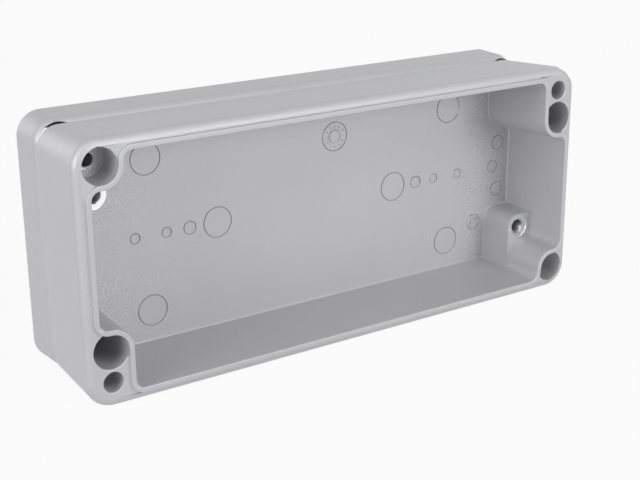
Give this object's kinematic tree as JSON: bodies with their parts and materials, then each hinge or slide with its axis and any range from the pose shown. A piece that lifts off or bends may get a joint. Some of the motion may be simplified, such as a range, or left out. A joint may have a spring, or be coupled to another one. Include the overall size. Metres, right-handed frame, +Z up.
{
  "type": "die cast aluminium box",
  "caption": "Long die cast aluminium enclosure with its lid off: open base on its long side, corner screw pillars, inner tapped bosses and a sealing rib, lid standing behind it.",
  "frame": {"origin": "bottom centre of the base and the lid together, where they stand on the surface", "axes": "+X along the box, +Z up, -Y out of the base's open mouth"},
  "size_m": [0.1512, 0.037, 0.064],
  "materials": {
    "base_metal": "satin cast skin, machined bright at the tapped holes",
    "lid_metal": "satin cast skin",
    "gasket_rubber": "matt"
  },
  "bodies": {
    "root": {"base_casting": "base_metal", "lid_casting": "lid_metal", "lid_gasket": "gasket_rubber"}
  },
  "joints": []
}
